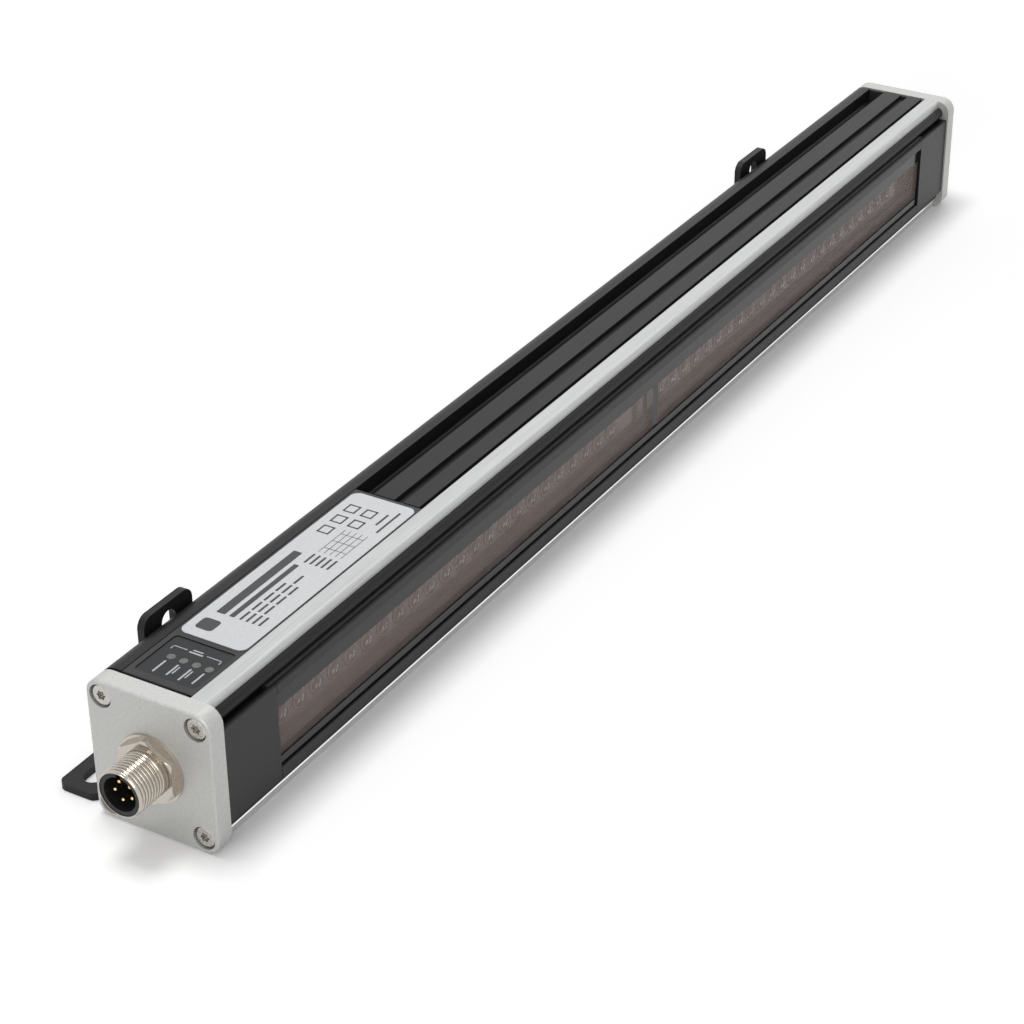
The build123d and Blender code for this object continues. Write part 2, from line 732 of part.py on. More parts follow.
def status_window():
    floor = Z_TOP - STATUS_RECESS
    body = status_area(STATUS_SHEET_GAP, floor, floor + STATUS_SHEET)
    for x in light_places():
        body -= rod_z(x, Y_LIGHTS, LIGHT_R + LIGHT_HOLE_GAP, floor - PAST, Z_TOP + PAST)
    return body


def light_guides():
    """Four light pipes moulded on one bar."""
    body = block(
        -LIGHT_BAR_LENGTH / 2,
        LIGHT_BAR_LENGTH / 2,
        Y_LIGHTS - LIGHT_BAR_WIDTH / 2,
        Y_LIGHTS + LIGHT_BAR_WIDTH / 2,
        Z_RABBET - LIGHT_BAR_HEIGHT,
        Z_RABBET,
    )
    tip = Z_TOP - STATUS_RECESS + STATUS_SHEET
    z_low = Z_STATUS_BOARD + STATUS_CHIP_HEIGHT + LIGHT_BAR_GAP
    for x in light_places():
        body += rod_z(x, Y_LIGHTS, LIGHT_R, Z_RABBET - LIGHT_BAR_HEIGHT, tip)
        body += rod_z(x, Y_LIGHTS, LIGHT_R, z_low, Z_RABBET - LIGHT_BAR_HEIGHT)
    return body


def status_board():
    """Small board under the light guides, with one chip light per guide."""
    top = Z_STATUS_BOARD
    body = block(
        -STATUS_BOARD_WIDTH / 2,
        STATUS_BOARD_WIDTH / 2,
        Y_LIGHTS - STATUS_BOARD_LENGTH / 2,
        Y_LIGHTS + STATUS_BOARD_LENGTH / 2,
        top - BOARD_THICKNESS,
        top,
    )
    for x in light_places():
        body += block(
            x - STATUS_CHIP_SIZE / 2,
            x + STATUS_CHIP_SIZE / 2,
            Y_LIGHTS - STATUS_CHIP_SIZE / 2,
            Y_LIGHTS + STATUS_CHIP_SIZE / 2,
            top,
            top + STATUS_CHIP_HEIGHT,
        )
    return body


def label_plate():
    x0 = X_COVER + LABEL_FROM_EDGE
    return upright_slab(
        x0,
        x0 + LABEL_WIDTH,
        Y_LABEL,
        Y_LABEL + LABEL_LENGTH,
        Z_TOP,
        Z_TOP + LABEL_THICKNESS,
        LABEL_CORNER_R,
    )


# Brackets: one folded sheet each, clamped to the T-slot by a T-bolt
X_SHEET = X_BACK - SHEET
X_FOOT_END = X_BACK - FOOT_REACH
Z_FOOT = -Z_TOP
Z_UPRIGHT = Z_TOP + UPRIGHT_RISE
X_FOOT_SLOT = X_BACK - FOOT_SLOT_FROM_BACK


def bracket(y_mid):
    bend_r = BEND_INNER_R + SHEET
    profile = strip(X_SHEET, X_BACK, Z_FOOT, Z_UPRIGHT)
    profile += strip(X_FOOT_END, X_BACK, Z_FOOT, Z_FOOT + SHEET)
    outer = profile.vertices().sort_by_distance((X_BACK, Z_FOOT))[0]
    profile = fillet([outer], bend_r)
    inner = profile.vertices().sort_by_distance((X_SHEET, Z_FOOT + SHEET))[0]
    profile = fillet([inner], BEND_INNER_R)
    body = prism(profile, y_mid - UPRIGHT_WIDTH / 2, y_mid + UPRIGHT_WIDTH / 2)
    top_corners = body.edges().filter_by(Axis.X).group_by(Axis.Z)[-1]
    body = fillet(top_corners, UPRIGHT_CORNER_R)

    x_wide = X_SHEET - BEND_RELIEF
    foot = upright_slab(
        X_FOOT_END,
        x_wide,
        y_mid - FOOT_LENGTH / 2,
        y_mid + FOOT_LENGTH / 2,
        Z_FOOT,
        Z_FOOT + SHEET,
        FOOT_CORNER_R,
    )
    body += foot

    slot_r = UPRIGHT_SLOT_WIDTH / 2
    z_slot_top = Z_UPRIGHT - UPRIGHT_SLOT_TOP_GAP - slot_r
    z_slot_low = z_slot_top - UPRIGHT_SLOT_LENGTH + 2 * slot_r
    body -= rod_x(y_mid, z_slot_top, slot_r, X_SHEET - PAST, X_BACK + PAST)
    body -= rod_x(y_mid, z_slot_low, slot_r, X_SHEET - PAST, X_BACK + PAST)
    body -= block(X_SHEET - PAST, X_BACK + PAST, y_mid - slot_r, y_mid + slot_r, z_slot_low, z_slot_top)

    slot = Rot(0, 0, 90) * SlotOverall(FOOT_SLOT_LENGTH, FOOT_SLOT_WIDTH)
    for side in (-1, 1):
        place = Pos(X_FOOT_SLOT, y_mid + side * FOOT_SLOT_SPACING / 2, Z_FOOT - PAST)
        body -= extrude(place * slot, amount=SHEET + 2 * PAST)
    return body


def t_bolt(y_mid):
    x_head = X_BACK + T_LIP
    head = block(
        x_head,
        x_head + BOLT_HEAD_THICKNESS,
        y_mid - BOLT_HEAD_WIDTH / 2,
        y_mid + BOLT_HEAD_WIDTH / 2,
        -BOLT_HEAD_LENGTH / 2,
        BOLT_HEAD_LENGTH / 2,
    )
    head = fillet(head.edges().filter_by(Axis.X), BOLT_HEAD_CORNER_R)
    tip = X_SHEET - WASHER_THICKNESS - NUT_HEIGHT - BOLT_TIP
    shank = rod_x(y_mid, 0, BOLT_R, tip, x_head)
    shank = chamfer([shank.edges().sort_by(Axis.X)[0]], BOLT_CHAMFER)
    return head + shank


def washer(y_mid):
    ring = rod_x(y_mid, 0, WASHER_R, X_SHEET - WASHER_THICKNESS, X_SHEET)
    return ring - rod_x(y_mid, 0, WASHER_HOLE_R, X_SHEET - WASHER_THICKNESS - PAST, X_SHEET + PAST)


def nut(y_mid):
    x1 = X_SHEET - WASHER_THICKNESS
    x0 = x1 - NUT_HEIGHT
    outline = Rot(0, 0, 30) * RegularPolygon(NUT_AF / 2, 6, major_radius=False)
    body = extrude(Plane.YZ.offset(x0) * Pos(y_mid, 0) * outline, amount=NUT_HEIGHT)
    round_off = rod_x(y_mid, 0, NUT_CORNER_R, x0, x1)
    rims = round_off.edges().sort_by(Axis.X)
    round_off = chamfer([rims[0], rims[-1]], BOLT_CHAMFER)
    body = body & round_off
    return body - rod_x(y_mid, 0, BOLT_R + NUT_HOLE_CLEARANCE, x0 - PAST, x1 + PAST)


save(housing(), "housing_profile")
save(trim_strip(1), "trim_strip_top")
save(trim_strip(-1), "trim_strip_bottom")
save(near_plate(), "end_plate_near")
save(end_plate(Y_GASKET_END, Y_PLATE_END), "end_plate_far")
save(gasket(Y_GASKET, Y_BODY), "gasket_near")
save(gasket(Y_BODY_END, Y_GASKET_END), "gasket_far")
save(end_screws(Y_PLATE, 1), "end_screws_near")
save(end_screws(Y_PLATE_END, -1), "end_screws_far")
save(plug_shell(), "plug_shell")
save(plug_insert(), "plug_insert")
save(plug_pins(), "plug_pins")
save(plug_seal(), "plug_seal")
save(plug_lock_nut(), "plug_lock_nut")
save(frame_strip(1), "frame_strip_top")
save(frame_strip(-1), "frame_strip_bottom")
save(end_block(Y_BODY, 1), "end_block_near")
save(end_block(Y_BODY_END, -1), "end_block_far")
save(window_pane(), "window_pane")
for number in (1, 2):
    save(optic_carrier(number), f"optic_carrier_{number}")
    save(lens_bar(number), f"lens_bar_{number}")
    save(diode_board(number), f"diode_board_{number}")
    save(diodes(number), f"diodes_{number}")
save(control_board(), "control_board")
save(control_parts(), "control_board_parts")
save(display_cover(), "display_cover")
save(status_window(), "status_window")
save(light_guides(), "light_guides")
save(status_board(), "status_board")
save(label_plate(), "label_plate")
for place, y_mid in (("near", Y_BRACKET_NEAR), ("far", Y_BRACKET_FAR)):
    save(bracket(y_mid), f"bracket_{place}")
    save(t_bolt(y_mid), f"t_bolt_{place}")
    save(washer(y_mid), f"washer_{place}")
    save(nut(y_mid), f"nut_{place}")
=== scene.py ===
import bpy
import bmesh
import math
from mathutils import Matrix, Vector


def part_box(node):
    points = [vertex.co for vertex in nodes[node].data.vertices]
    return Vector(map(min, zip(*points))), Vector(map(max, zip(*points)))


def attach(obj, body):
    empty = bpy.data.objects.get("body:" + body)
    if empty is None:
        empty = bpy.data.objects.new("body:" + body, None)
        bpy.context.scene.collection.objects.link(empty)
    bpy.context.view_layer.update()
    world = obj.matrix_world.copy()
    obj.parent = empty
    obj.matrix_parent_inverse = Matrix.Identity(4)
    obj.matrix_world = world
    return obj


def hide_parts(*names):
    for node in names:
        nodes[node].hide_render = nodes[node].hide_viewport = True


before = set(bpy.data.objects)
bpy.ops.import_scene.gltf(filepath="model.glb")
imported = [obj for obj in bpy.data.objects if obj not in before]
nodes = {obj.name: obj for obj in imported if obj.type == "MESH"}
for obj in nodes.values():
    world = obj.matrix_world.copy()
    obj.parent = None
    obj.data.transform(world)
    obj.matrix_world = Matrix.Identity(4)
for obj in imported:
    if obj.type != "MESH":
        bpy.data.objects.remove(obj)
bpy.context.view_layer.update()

# Sizes below are in millimetres, and colours are linear
MM = 0.001
PROUD = 0.03


# Materials

def new_material(name):
    material = bpy.data.materials.new(name)
    material.use_nodes = True
    tree = material.node_tree
    shader = tree.nodes["Principled BSDF"]
    return material, tree, shader


def stretched_noise(tree, scale, stretch=(1, 1, 1), detail=3.0, roughness=0.55):
    """Noise in the object's own metres, stretched along the axes."""
    coords = tree.nodes.new("ShaderNodeTexCoord")
    mapping = tree.nodes.new("ShaderNodeMapping")
    mapping.inputs["Scale"].default_value = stretch
    noise = tree.nodes.new("ShaderNodeTexNoise")
    noise.inputs["Scale"].default_value = scale
    noise.inputs["Detail"].default_value = detail
    noise.inputs["Roughness"].default_value = roughness
    tree.links.new(coords.outputs["Object"], mapping.inputs["Vector"])
    tree.links.new(mapping.outputs["Vector"], noise.inputs["Vector"])
    return noise


def ramp(tree, source, low, high, start=0.3, end=0.7):
    node = tree.nodes.new("ShaderNodeMapRange")
    node.inputs["From Min"].default_value = start
    node.inputs["From Max"].default_value = end
    node.inputs["To Min"].default_value = low
    node.inputs["To Max"].default_value = high
    tree.links.new(source.outputs[0], node.inputs["Value"])
    return node


def colour_mix(tree, factor, first, second, start=0.3, end=0.7):
    node = tree.nodes.new("ShaderNodeValToRGB")
    node.color_ramp.elements[0].position = start
    node.color_ramp.elements[0].color = (*first, 1)
    node.color_ramp.elements[1].position = end
    node.color_ramp.elements[1].color = (*second, 1)
    tree.links.new(factor.outputs[0], node.inputs["Fac"])
    return node


RELIEF_DEPTH = 0.05 * MM


def surface(name, dark, light, metallic, rough_low, rough_high, scale, stretch=(1, 1, 1),
            bump=0.0, bump_scale=None, coat=0.0, ior=1.45, specular=0.5):
    """A finished surface: uneven colour and roughness, and a fine relief."""
    material, tree, shader = new_material(name)
    noise = stretched_noise(tree, scale, stretch)
    tint = colour_mix(tree, noise, dark, light)
    tree.links.new(tint.outputs["Color"], shader.inputs["Base Color"])
    rough = ramp(tree, noise, rough_low, rough_high)
    tree.links.new(rough.outputs[0], shader.inputs["Roughness"])
    shader.inputs["Metallic"].default_value = metallic
    shader.inputs["IOR"].default_value = ior
    shader.inputs["Specular IOR Level"].default_value = specular
    shader.inputs["Coat Weight"].default_value = coat
    if bump > 0:
        grain = stretched_noise(tree, bump_scale, stretch, 4.0, 0.6)
        relief = tree.nodes.new("ShaderNodeBump")
        relief.inputs["Strength"].default_value = bump
        relief.inputs["Distance"].default_value = RELIEF_DEPTH
        tree.links.new(grain.outputs[0], relief.inputs["Height"])
        tree.links.new(relief.outputs["Normal"], shader.inputs["Normal"])
    return material


ALONG = (1, 0.02, 1)
EVEN = (1, 1, 1)

# Each line: name, dark and light tint, metallic, roughness low and high, scale, then stretch,
# relief and relief scale where the surface has one
M = {
    "housing": surface("black_anodised", (0.010, 0.010, 0.011), (0.017, 0.017, 0.018), 0.30,
                       0.40, 0.50, 2400, ALONG, 0.12, 5200, specular=0.36),
    "trim": surface("satin_aluminium_trim", (0.47, 0.475, 0.475), (0.56, 0.565, 0.565), 0.75,
                    0.38, 0.48, 2600, ALONG, 0.10, 5200),
    "edge": surface("polished_edge", (0.90, 0.90, 0.89), (0.97, 0.97, 0.96), 1.0,
                    0.16, 0.24, 2600, ALONG),
    "lip": surface("satin_lip", (0.72, 0.725, 0.725), (0.80, 0.805, 0.805), 0.45,
                   0.38, 0.48, 2600, ALONG, 0.10, 5200),
    "plate": surface("blasted_aluminium", (0.52, 0.52, 0.505), (0.61, 0.61, 0.595), 0.6,
                     0.45, 0.58, 1500, EVEN, 0.25, 4200),
    "gasket": surface("gasket_rubber", (0.010, 0.010, 0.010), (0.018, 0.018, 0.018), 0.0,
                      0.6, 0.75, 900, EVEN, 0.2, 3000),
    "screw": surface("screw_steel", (0.46, 0.44, 0.41), (0.60, 0.58, 0.55), 1.0,
                     0.22, 0.36, 1800, EVEN, 0.1, 4000),
    "zinc": surface("zinc_steel", (0.50, 0.50, 0.50), (0.64, 0.64, 0.63), 1.0,
                    0.3, 0.42, 900, EVEN, 0.1, 3000),
    "nickel": surface("nickel", (0.49, 0.445, 0.39), (0.55, 0.505, 0.45), 1.0,
                      0.09, 0.15, 1600, EVEN, 0.03, 3600),
    "gold": surface("gold_pin", (0.80, 0.58, 0.24), (0.92, 0.72, 0.36), 1.0,
                    0.18, 0.28, 900),
    "insert": surface("insert_plastic", (0.009, 0.009, 0.010), (0.015, 0.015, 0.016), 0.0,
                      0.42, 0.55, 1200, EVEN, 0.1, 3000),
    "front": surface("front_plastic", (0.007, 0.007, 0.008), (0.011, 0.011, 0.012), 0.0,
                     0.32, 0.42, 1300, EVEN, 0.12, 5200, specular=0.33),
    "carrier": surface("carrier_plastic", (0.020, 0.018, 0.018), (0.030, 0.027, 0.027), 0.0,
                       0.45, 0.6, 1300, EVEN, 0.12, 3000),
    "cover": surface("cover_plastic", (0.012, 0.012, 0.013), (0.018, 0.018, 0.019), 0.0,
                     0.36, 0.46, 1500, EVEN, 0.15, 6000),
    "status": surface("status_sheet", (0.013, 0.015, 0.016), (0.018, 0.020, 0.022), 0.0,
                      0.3, 0.38, 1500, EVEN, 0.05, 5000, specular=0.33),
    "light": surface("light_pipe", (0.13, 0.145, 0.13), (0.18, 0.20, 0.18), 0.0,
                     0.25, 0.35, 900),
    "label": surface("label_foil", (0.63, 0.64, 0.66), (0.71, 0.72, 0.74), 0.2,
                     0.36, 0.46, 1800, EVEN, 0.05, 5000),
    "ink": surface("print_ink", (0.035, 0.036, 0.040), (0.055, 0.056, 0.060), 0.0,
                   0.4, 0.5, 2500),
    "pale_ink": surface("pale_print", (0.50, 0.51, 0.52), (0.60, 0.61, 0.62), 0.0,
                        0.45, 0.55, 2500),
    "bracket": surface("powder_coat", (0.011, 0.011, 0.012), (0.018, 0.018, 0.019), 0.0,
                       0.38, 0.5, 1400, EVEN, 0.35, 2600, specular=0.26),
    "board": surface("board_green", (0.01, 0.06, 0.03), (0.02, 0.10, 0.05), 0.0,
                     0.3, 0.45, 600),
    "part": surface("board_part", (0.02, 0.02, 0.022), (0.035, 0.035, 0.038), 0.0,
                    0.4, 0.5, 900),
    "lens": surface("lens_plastic", (0.030, 0.023, 0.021), (0.046, 0.036, 0.033), 0.0,
                    0.10, 0.16, 400, coat=0.4, ior=1.5),
    # Near-white ovals laid on the lenses: painted highlights
    "painted_highlight": surface("lens_painted_highlight", (0.88, 0.86, 0.82), (0.97, 0.95, 0.92), 0.0,
                     0.25, 0.35, 900),
    # Pale reddish rings at the lenses' rims: painted reflections
    "ring": surface("lens_rim_painted_reflection", (0.36, 0.25, 0.22), (0.46, 0.33, 0.29), 0.0,
                    0.25, 0.35, 900),
    "border": surface("pane_print", (0.009, 0.010, 0.008), (0.013, 0.014, 0.012), 0.0,
                      0.16, 0.22, 500, specular=0.36),
}


def smoked_pane():
    """A tinted clear pane, which shows what lies behind it."""
    material, tree, shader = new_material("smoked_pane")
    noise = stretched_noise(tree, 300)
    rough = ramp(tree, noise, 0.10, 0.16)
    tree.links.new(rough.outputs[0], shader.inputs["Roughness"])
    shader.inputs["Base Color"].default_value = (0.54, 0.43, 0.40, 1)
    shader.inputs["Alpha"].default_value = 0.25
    shader.inputs["IOR"].default_value = 1.4
    shader.inputs["Specular IOR Level"].default_value = 0.15
    return material


M["pane"] = smoked_pane()

NODE_MATERIALS = {
    "housing": ["housing_profile"],
    "trim": ["trim_strip_top", "trim_strip_bottom"],
    "plate": ["end_plate_near", "end_plate_far"],
    "gasket": ["gasket_near", "gasket_far", "plug_seal"],
    "screw": ["end_screws_near", "end_screws_far"],
    "zinc": ["t_bolt_near", "t_bolt_far", "washer_near", "washer_far", "nut_near", "nut_far"],
    "nickel": ["plug_shell", "plug_lock_nut"],
    "gold": ["plug_pins"],
    "insert": ["plug_insert"],
    "front": ["frame_strip_top", "frame_strip_bottom", "end_block_near", "end_block_far"],
    "carrier": ["optic_carrier_1", "optic_carrier_2"],
    "cover": ["display_cover"],
    "status": ["status_window"],
    "light": ["light_guides"],
    "label": ["label_plate"],
    "bracket": ["bracket_near", "bracket_far"],
    "board": ["diode_board_1", "diode_board_2", "control_board", "status_board"],
    "part": ["diodes_1", "diodes_2", "control_board_parts"],
    "lens": ["lens_bar_1", "lens_bar_2"],
    "pane": ["window_pane"],
}


def paint(piece, material):
    piece.data.materials.clear()
    piece.data.materials.append(material)


for key, names in NODE_MATERIALS.items():
    for name in names:
        paint(nodes[name], M[key])

# Width of the rounded edge of each node that shows one
BEVELS = {
    "housing_profile": 0.18, "trim_strip_top": 0.15, "trim_strip_bottom": 0.15,
    "frame_strip_top": 0.12, "frame_strip_bottom": 0.12, "end_block_near": 0.12, "end_block_far": 0.12,
    "bracket_near": 0.25, "bracket_far": 0.25, "display_cover": 0.08,
    "nut_near": 0.12, "nut_far": 0.12, "t_bolt_near": 0.15, "t_bolt_far": 0.15,
    "end_screws_near": 0.06, "end_screws_far": 0.06,
}
for name, width in BEVELS.items():
    bevel = nodes[name].modifiers.new("edge", "BEVEL")
    bevel.width = width * MM
    bevel.segments = 2
    bevel.limit_method = "ANGLE"
    bevel.angle_limit = math.radians(50)


# Mesh helpers

def add_piece(name, mesh, material, body="root"):
    piece = bpy.data.objects.new(name, mesh)
    bpy.context.scene.collection.objects.link(piece)
    paint(piece, material)
    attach(piece, body)
    return piece


def piece_from(bm, name, material):
    mesh = bpy.data.meshes.new(name)
    bm.to_mesh(mesh)
    bm.free()
    return add_piece(name, mesh, material, "root")


def prism(bm, first, second):
    """A solid between two matching outlines, the second of which faces outward."""
    low = [bm.verts.new(Vector(point) * MM) for point in first]
    high = [bm.verts.new(Vector(point) * MM) for point in second]
    bm.faces.new(high)
    bm.faces.new(list(reversed(low)))
    for i in range(len(low)):
        j = (i + 1) % len(low)
        bm.faces.new((low[i], low[j], high[j], high[i]))


def bar_outline(x0, x1, y0, y1, radius=0.0, steps=1):
    """The outline of a bar seen from above, with its corners rounded if a radius is given."""
    if radius <= 0:
        return [(x0, y0), (x1, y0), (x1, y1), (x0, y1)]
    points = []
    corners = [(x1 - radius, y0 + radius, -90), (x1 - radius, y1 - radius, 0),
               (x0 + radius, y1 - radius, 90), (x0 + radius, y0 + radius, 180)]
    for cx, cy, start in corners:
        for step in range(steps + 1):
            angle = math.radians(start + 90 * step / steps)
            points.append((cx + radius * math.cos(angle), cy + radius * math.sin(angle)))
    return points


PRINT_SUNK = 0.02


def printed(name, bars, top, material):
    """A group of flat printed fields, just above a surface, as one piece."""
    bm = bmesh.new()
    for bar in bars:
        outline = bar_outline(*bar)
        prism(bm, [(x, y, top - PRINT_SUNK) for x, y in outline], [(x, y, top + PROUD) for x, y in outline])
    return piece_from(bm, name, material)


# Printed fields on the label

label_low, label_high = (Vector(corner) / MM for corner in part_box("label_plate"))
MARK = (2.2, 7.0, 3.0, 7.6, 1.0, 4)
TITLES = [(3.0, 5.4, 31.0, 0.3, 2), (6.6, 8.0, 26.0, 0.2, 2)]
TITLE_START = 10.5
TEXT_ROWS = [4, 5, 4, 1]
TEXT_ROW_START = 9.4
TEXT_ROW_PITCH = 1.75
WORD_WIDTH = 0.62
WORD_LENGTH = 3.9
WORD_PITCH = 4.7
TABLE_START = 8.2
TABLE_ROWS = 5
TABLE_ROW_PITCH = 1.6
TABLE_COLUMNS = 3
TABLE_COLUMN_PITCH = 3.6
TABLE_WIDTH = 6.5
RULE = 0.16
BOX = 3.35
BOX_TALL = 3.6
BOX_LINE = 0.45
BOX_LEFT_OUT = (1, 0)
TICK_ROUND = (0.1, 1)


def label_bars():
    """Plain bars, dashes, lines and boxes, as (x0, x1, y0, y1) and a corner radius with its steps."""
    x_start, y_start = label_low.x, label_low.y
    x_end, y_end = label_high.x, label_high.y
    bars = [(x_start + MARK[0], x_start + MARK[1], y_start + MARK[2], y_start + MARK[3], *MARK[4:])]
    title = y_start + TITLE_START
    for x0, x1, length, radius, steps in TITLES:
        bars.append((x_start + x0, x_start + x1, title, title + length, radius, steps))
    for row, words in enumerate(TEXT_ROWS):
        x = x_start + TEXT_ROW_START + row * TEXT_ROW_PITCH
        for word in range(words):
            y = title + word * WORD_PITCH
            bars.append((x, x + WORD_WIDTH, y, y + WORD_LENGTH, *TICK_ROUND))
    for row in range(TABLE_ROWS):
        x = x_start + TABLE_START + row * TABLE_ROW_PITCH
        bars.append((x, x + RULE, y_start + 44.0, y_start + 55.5))
        bars.append((x - 0.3, x + 0.3, y_start + 38.2, y_start + 42.6, *TICK_ROUND))
    for column in range(TABLE_COLUMNS):
        x = x_start + TABLE_START
        y = y_start + 46.2 + column * TABLE_COLUMN_PITCH
        bars.append((x, x + TABLE_WIDTH, y, y + RULE))
    for row in range(2):
        for column in range(3):
            if (row, column) == BOX_LEFT_OUT:
                continue
            x = x_start + 2.4 + row * 5.0
            y = y_start + 51.5 + column * 5.6
            bars.append((x, x + BOX_LINE, y, y + BOX_TALL))
            bars.append((x + BOX - BOX_LINE, x + BOX, y, y + BOX_TALL))
            bars.append((x, x + BOX, y, y + BOX_LINE))
            bars.append((x, x + BOX, y + BOX_TALL - BOX_LINE, y + BOX_TALL))
    bars.append((x_end - 3.1, x_end - 2.5, y_end - 14.0, y_end - 3.5, *TICK_ROUND))
    bars.append((x_end - 5.2, x_end - 4.6, y_end - 11.0, y_end - 5.5, *TICK_ROUND))
    return bars


printed("label_print", label_bars(), label_high.z, M["ink"])


# Printed lines and small fields on the status window

LIGHT_XS = [-5.28, -1.76, 1.76, 5.28]
PAIRED_LIGHTS = (1, 2)


def status_bars():
    """A bracket line over the lights and a short tick or two under each."""
    bars = [
        (-7.5, -3.7, 22.6, 22.85),
        (1.7, 6.0, 22.6, 22.85),
        (-7.5, -7.25, 21.4, 22.85),
        (5.75, 6.0, 21.4, 22.85),
        (-2.9, 0.9, 22.1, 22.6, *TICK_ROUND),
        (-2.4, 0.4, 23.1, 23.5, *TICK_ROUND),
    ]
    for index, x in enumerate(LIGHT_XS):
        bars.append((x - 0.25, x + 0.25, 12.0 + 0.4 * (index % 2), 16.9, *TICK_ROUND))
        if index in PAIRED_LIGHTS:
            bars.append((x + 0.65, x + 1.0, 13.4, 16.4, *TICK_ROUND))
    return bars


status_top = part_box("status_window")[1][2] / MM
printed("status_print", status_bars(), status_top, M["pale_ink"])


# Dark border printed on the pane

pane_low, pane_high = (Vector(corner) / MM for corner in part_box("window_pane"))
WINDOW_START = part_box("end_block_near")[1][1] / MM
WINDOW_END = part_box("end_block_far")[0][1] / MM
CLEAR_TOP = 5.3
CLEAR_LOW = -7.4
BORDER_TOP = 9.8
LEDGE_LOW = -9.3
LEDGE_PROUD = 0.4
BORDER_SUNK = 0.01
BORDER_PROUD = 0.02
SPLIT_HALF = 1.4


def front_slab(bm, y0, y1, z0, z1, proud):
    """A thin slab on the front of the pane."""
    corners = [(y0, z0), (y1, z0), (y1, z1), (y0, z1)]
    prism(bm, [(pane_high.x - BORDER_SUNK, y, z) for y, z in corners],
          [(pane_high.x + proud, y, z) for y, z in corners])


def pane_border():
    split = (pane_low.y + pane_high.y) / 2
    bm = bmesh.new()
    front_slab(bm, WINDOW_START, WINDOW_END, CLEAR_TOP, BORDER_TOP, BORDER_PROUD)
    front_slab(bm, WINDOW_START, WINDOW_END, LEDGE_LOW, CLEAR_LOW, LEDGE_PROUD)
    front_slab(bm, split - SPLIT_HALF, split + SPLIT_HALF, CLEAR_LOW, CLEAR_TOP, BORDER_PROUD)
    return piece_from(bm, "pane_border", M["border"])


pane_border()


# Lip of the bottom trim strip, with a polished chamfer along its upper edge

LIP_FRONT = 13.95
LIP_BACK = 11.6
LIP_LOW = -18.62
LIP_TOP = -16.5
LIP_CHAMFER = 0.35
LIP_ROUND = 0.12


EDGE_INSET = 0.1


def extruded(name, profile, y0, y1, material):
    """A bar of one outline in x and z, given anticlockwise as the plug's end shows it."""
    bm = bmesh.new()
    prism(bm, [(x, y1, z) for x, z in profile], [(x, y0, z) for x, z in profile])
    return piece_from(bm, name, material)


def trim_lip():
    low, high = (Vector(corner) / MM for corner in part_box("trim_strip_bottom"))
    shoulder = (LIP_FRONT - LIP_CHAMFER, LIP_TOP)
    brow = (LIP_FRONT, LIP_TOP - LIP_CHAMFER)
    lip = [
        (LIP_BACK, LIP_LOW), (LIP_FRONT - LIP_ROUND, LIP_LOW), (LIP_FRONT, LIP_LOW + LIP_ROUND),
        brow, shoulder, (LIP_BACK, LIP_TOP),
    ]
    extruded("trim_lip", lip, low.y, high.y, M["lip"])
    edge = [(shoulder[0], brow[1]), (brow[0] + PROUD, brow[1]), (shoulder[0], shoulder[1] + PROUD)]
    extruded("trim_lip_edge", edge, low.y + EDGE_INSET, high.y - EDGE_INSET, M["edge"])


trim_lip()


# Painted highlights and painted rim reflections laid on the lenses

LENS_PITCH = 7.0
LENS_FROM_START = 8.5
LENS_COUNT = 23
LENS_CROWN = 13.3
LENS_SPHERE_R = 5.0
PAINTED_HIGHLIGHT_TILT = math.radians(24)

# Distance along from the lens's middle, half width and half height of each painted highlight
PAINTED_HIGHLIGHTS = [(0.3, 0.3, 1.0), (-1.1, 0.17, 0.6)]
RING_R = 2.45
RING_WIDTH = 0.16


def dome_point(y_mid, dy, dz):
    """A point just above a lens, at a distance along and across from its middle."""
    x = LENS_CROWN - LENS_SPHERE_R + math.sqrt(LENS_SPHERE_R ** 2 - dy ** 2 - dz ** 2) + PROUD
    return (x * MM, (y_mid + dy) * MM, dz * MM)


def dome_ring(bm, y_mid, inner, outer, steps=24):
    """A flat ring laid on a lens."""
    rows = []
    for radius in (inner, outer):
        turns = [2 * math.pi * step / steps for step in range(steps)]
        points = [dome_point(y_mid, radius * math.cos(turn), radius * math.sin(turn)) for turn in turns]
        rows.append([bm.verts.new(point) for point in points])
    for step in range(steps):
        following = (step + 1) % steps
        bm.faces.new((rows[0][step], rows[1][step], rows[1][following], rows[0][following]))


def dome_painted_highlight(bm, y_mid, offset, across, tall, steps=12):
    """A small slanted pale oval laid on a lens, a painted highlight."""
    corners = []
    for step in range(steps):
        turn = 2 * math.pi * step / steps
        u, v = across * math.cos(turn), tall * math.sin(turn)
        dy = offset + u * math.cos(PAINTED_HIGHLIGHT_TILT) + v * math.sin(PAINTED_HIGHLIGHT_TILT)
        dz = v * math.cos(PAINTED_HIGHLIGHT_TILT) - u * math.sin(PAINTED_HIGHLIGHT_TILT)
        corners.append(bm.verts.new(dome_point(y_mid, dy, dz)))
    bm.faces.new(corners)


def each_lens():
    """The middle of each lens of both modules."""
    for module in (1, 2):
        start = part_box(f"optic_carrier_{module}")[0][1] / MM + LENS_FROM_START
        for place in range(LENS_COUNT):
            yield start + LENS_PITCH * place


def lens_piece(name, draw, material):
    """One piece of what draw lays on every lens."""
    bm = bmesh.new()
    for y_mid in each_lens():
        draw(bm, y_mid)
    return piece_from(bm, name, material)


# Pale ovals on each lens: painted highlights
def draw_painted_highlights(bm, y_mid):
    for offset, across, tall in PAINTED_HIGHLIGHTS:
        dome_painted_highlight(bm, y_mid, offset, across, tall)


# Pale ring on each lens's rim: a painted reflection
def painted_rim_reflection_ring(bm, y_mid):
    dome_ring(bm, y_mid, RING_R - RING_WIDTH / 2, RING_R + RING_WIDTH / 2)


lens_piece("lens_painted_highlights", draw_painted_highlights, M["painted_highlight"])
lens_piece("lens_rim_painted_reflections", painted_rim_reflection_ring, M["ring"])


# Threaded shell of the plug

